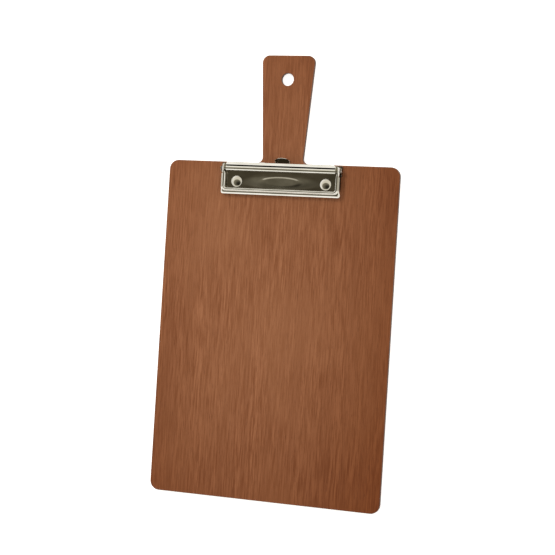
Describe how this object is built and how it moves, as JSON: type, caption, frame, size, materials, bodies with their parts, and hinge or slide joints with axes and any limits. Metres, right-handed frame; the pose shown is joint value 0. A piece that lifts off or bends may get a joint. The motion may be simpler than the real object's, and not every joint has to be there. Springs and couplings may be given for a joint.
{
  "type": "clipboard",
  "caption": "Clipboard with a long tapered handle, a hanging hole and a riveted low-profile spring clip whose jaw opens when its rear flap is pressed.",
  "frame": {"origin": "middle of the outline's bounding box, on the back face the clipboard lies on", "axes": "+X across the width to the right seen from the front, +Y along the length toward the handle, +Z out of the writing face"},
  "size_m": [0.23, 0.4222, 0.0114],
  "materials": {
    "stained_wood": "satin stained veneer",
    "nickel_plate": "polished nickel",
    "nickel_jaw": "polished nickel",
    "nickel_rivet": "polished nickel",
    "zinc_steel": "zinc plated",
    "spring_steel": "dark drawn wire"
  },
  "bodies": {
    "board_assembly": {"board": "stained_wood", "base_plate": "nickel_plate", "rivet_left": "nickel_rivet", "rivet_right": "nickel_rivet", "rivet_washer_left": "zinc_steel", "rivet_washer_right": "zinc_steel", "hinge_pin": "zinc_steel"},
    "jaw": {"clamp_jaw": "nickel_jaw", "torsion_spring_left": "spring_steel", "torsion_spring_right": "spring_steel"},
    "tab": {"hanging_tab": "nickel_jaw"}
  },
  "joints": [
    {"name": "jaw_hinge", "type": "hinge", "parent": "board_assembly", "child": "jaw", "pos_m": [0, 0.1025, 0.0083], "axis": [-1, 0, 0], "range_deg": [0, 26], "stiffness_Nm_per_rad": 0.15, "springref_deg": -68.75},
    {"name": "tab_slide", "type": "slide", "parent": "board_assembly", "child": "tab", "axis": [0, 1, 0], "range_m": [0, 0.0092]}
  ]
}
